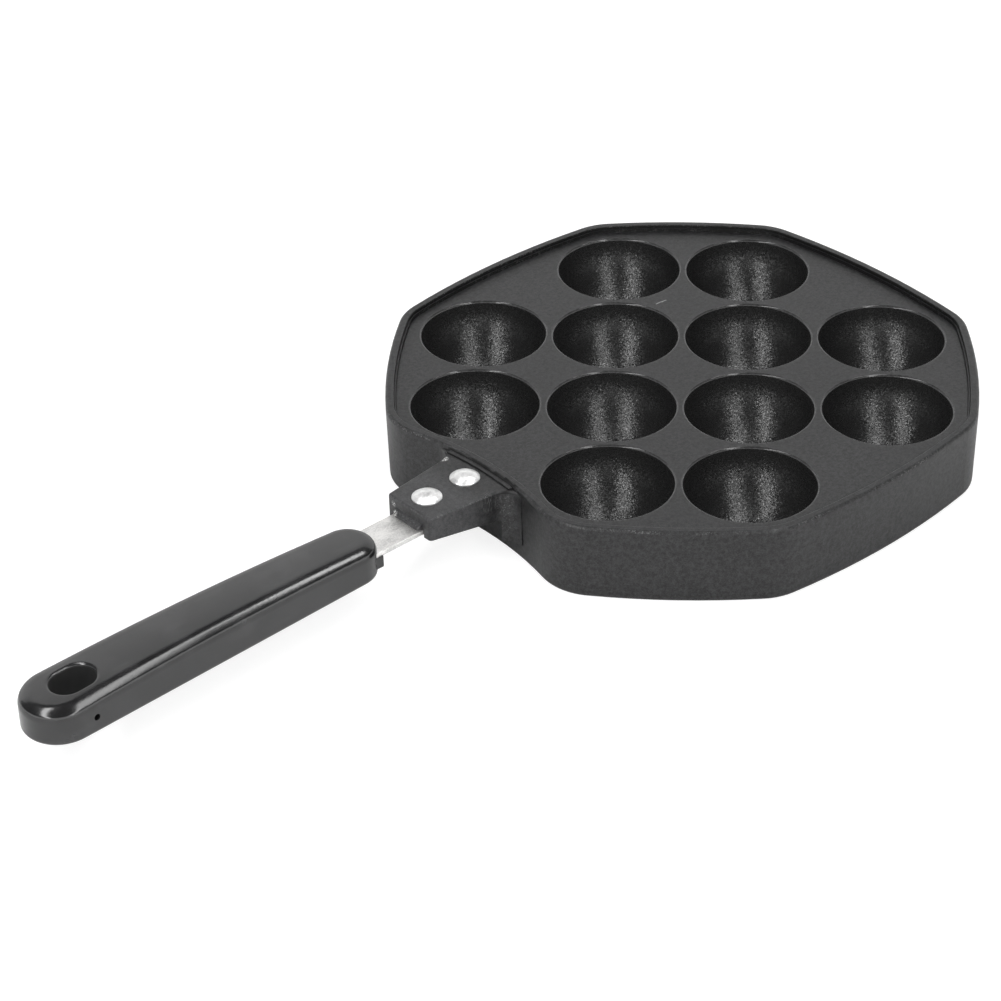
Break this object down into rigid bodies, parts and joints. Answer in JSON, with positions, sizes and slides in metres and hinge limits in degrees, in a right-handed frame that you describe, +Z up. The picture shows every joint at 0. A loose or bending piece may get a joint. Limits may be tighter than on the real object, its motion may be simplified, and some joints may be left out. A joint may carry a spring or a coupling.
{
  "type": "takoyaki pan",
  "caption": "Eight-sided cast pan with half-ball cups, a raised rim and an open skirt below, a lug with domed rivets, a flat strip and a rounded grip with an oval hanging hole.",
  "frame": {"origin": "centre of the outer box in X and Y, on the plane the skirt stands on", "axes": "+X away from the grip along the handle, +Y to the left when looking from the grip, +Z up"},
  "size_m": [0.3391, 0.1788, 0.026],
  "materials": {
    "pan_metal": "cast, dark satin coating with fine grain",
    "tang_steel": "brushed strip",
    "grip_plastic": "glossy moulded black",
    "rivet_metal": "bright, lightly worn"
  },
  "bodies": {
    "root": {"pan_body": "pan_metal", "handle_tang": "tang_steel", "handle_grip": "grip_plastic", "rivet_outer": "rivet_metal", "rivet_inner": "rivet_metal"}
  },
  "joints": []
}
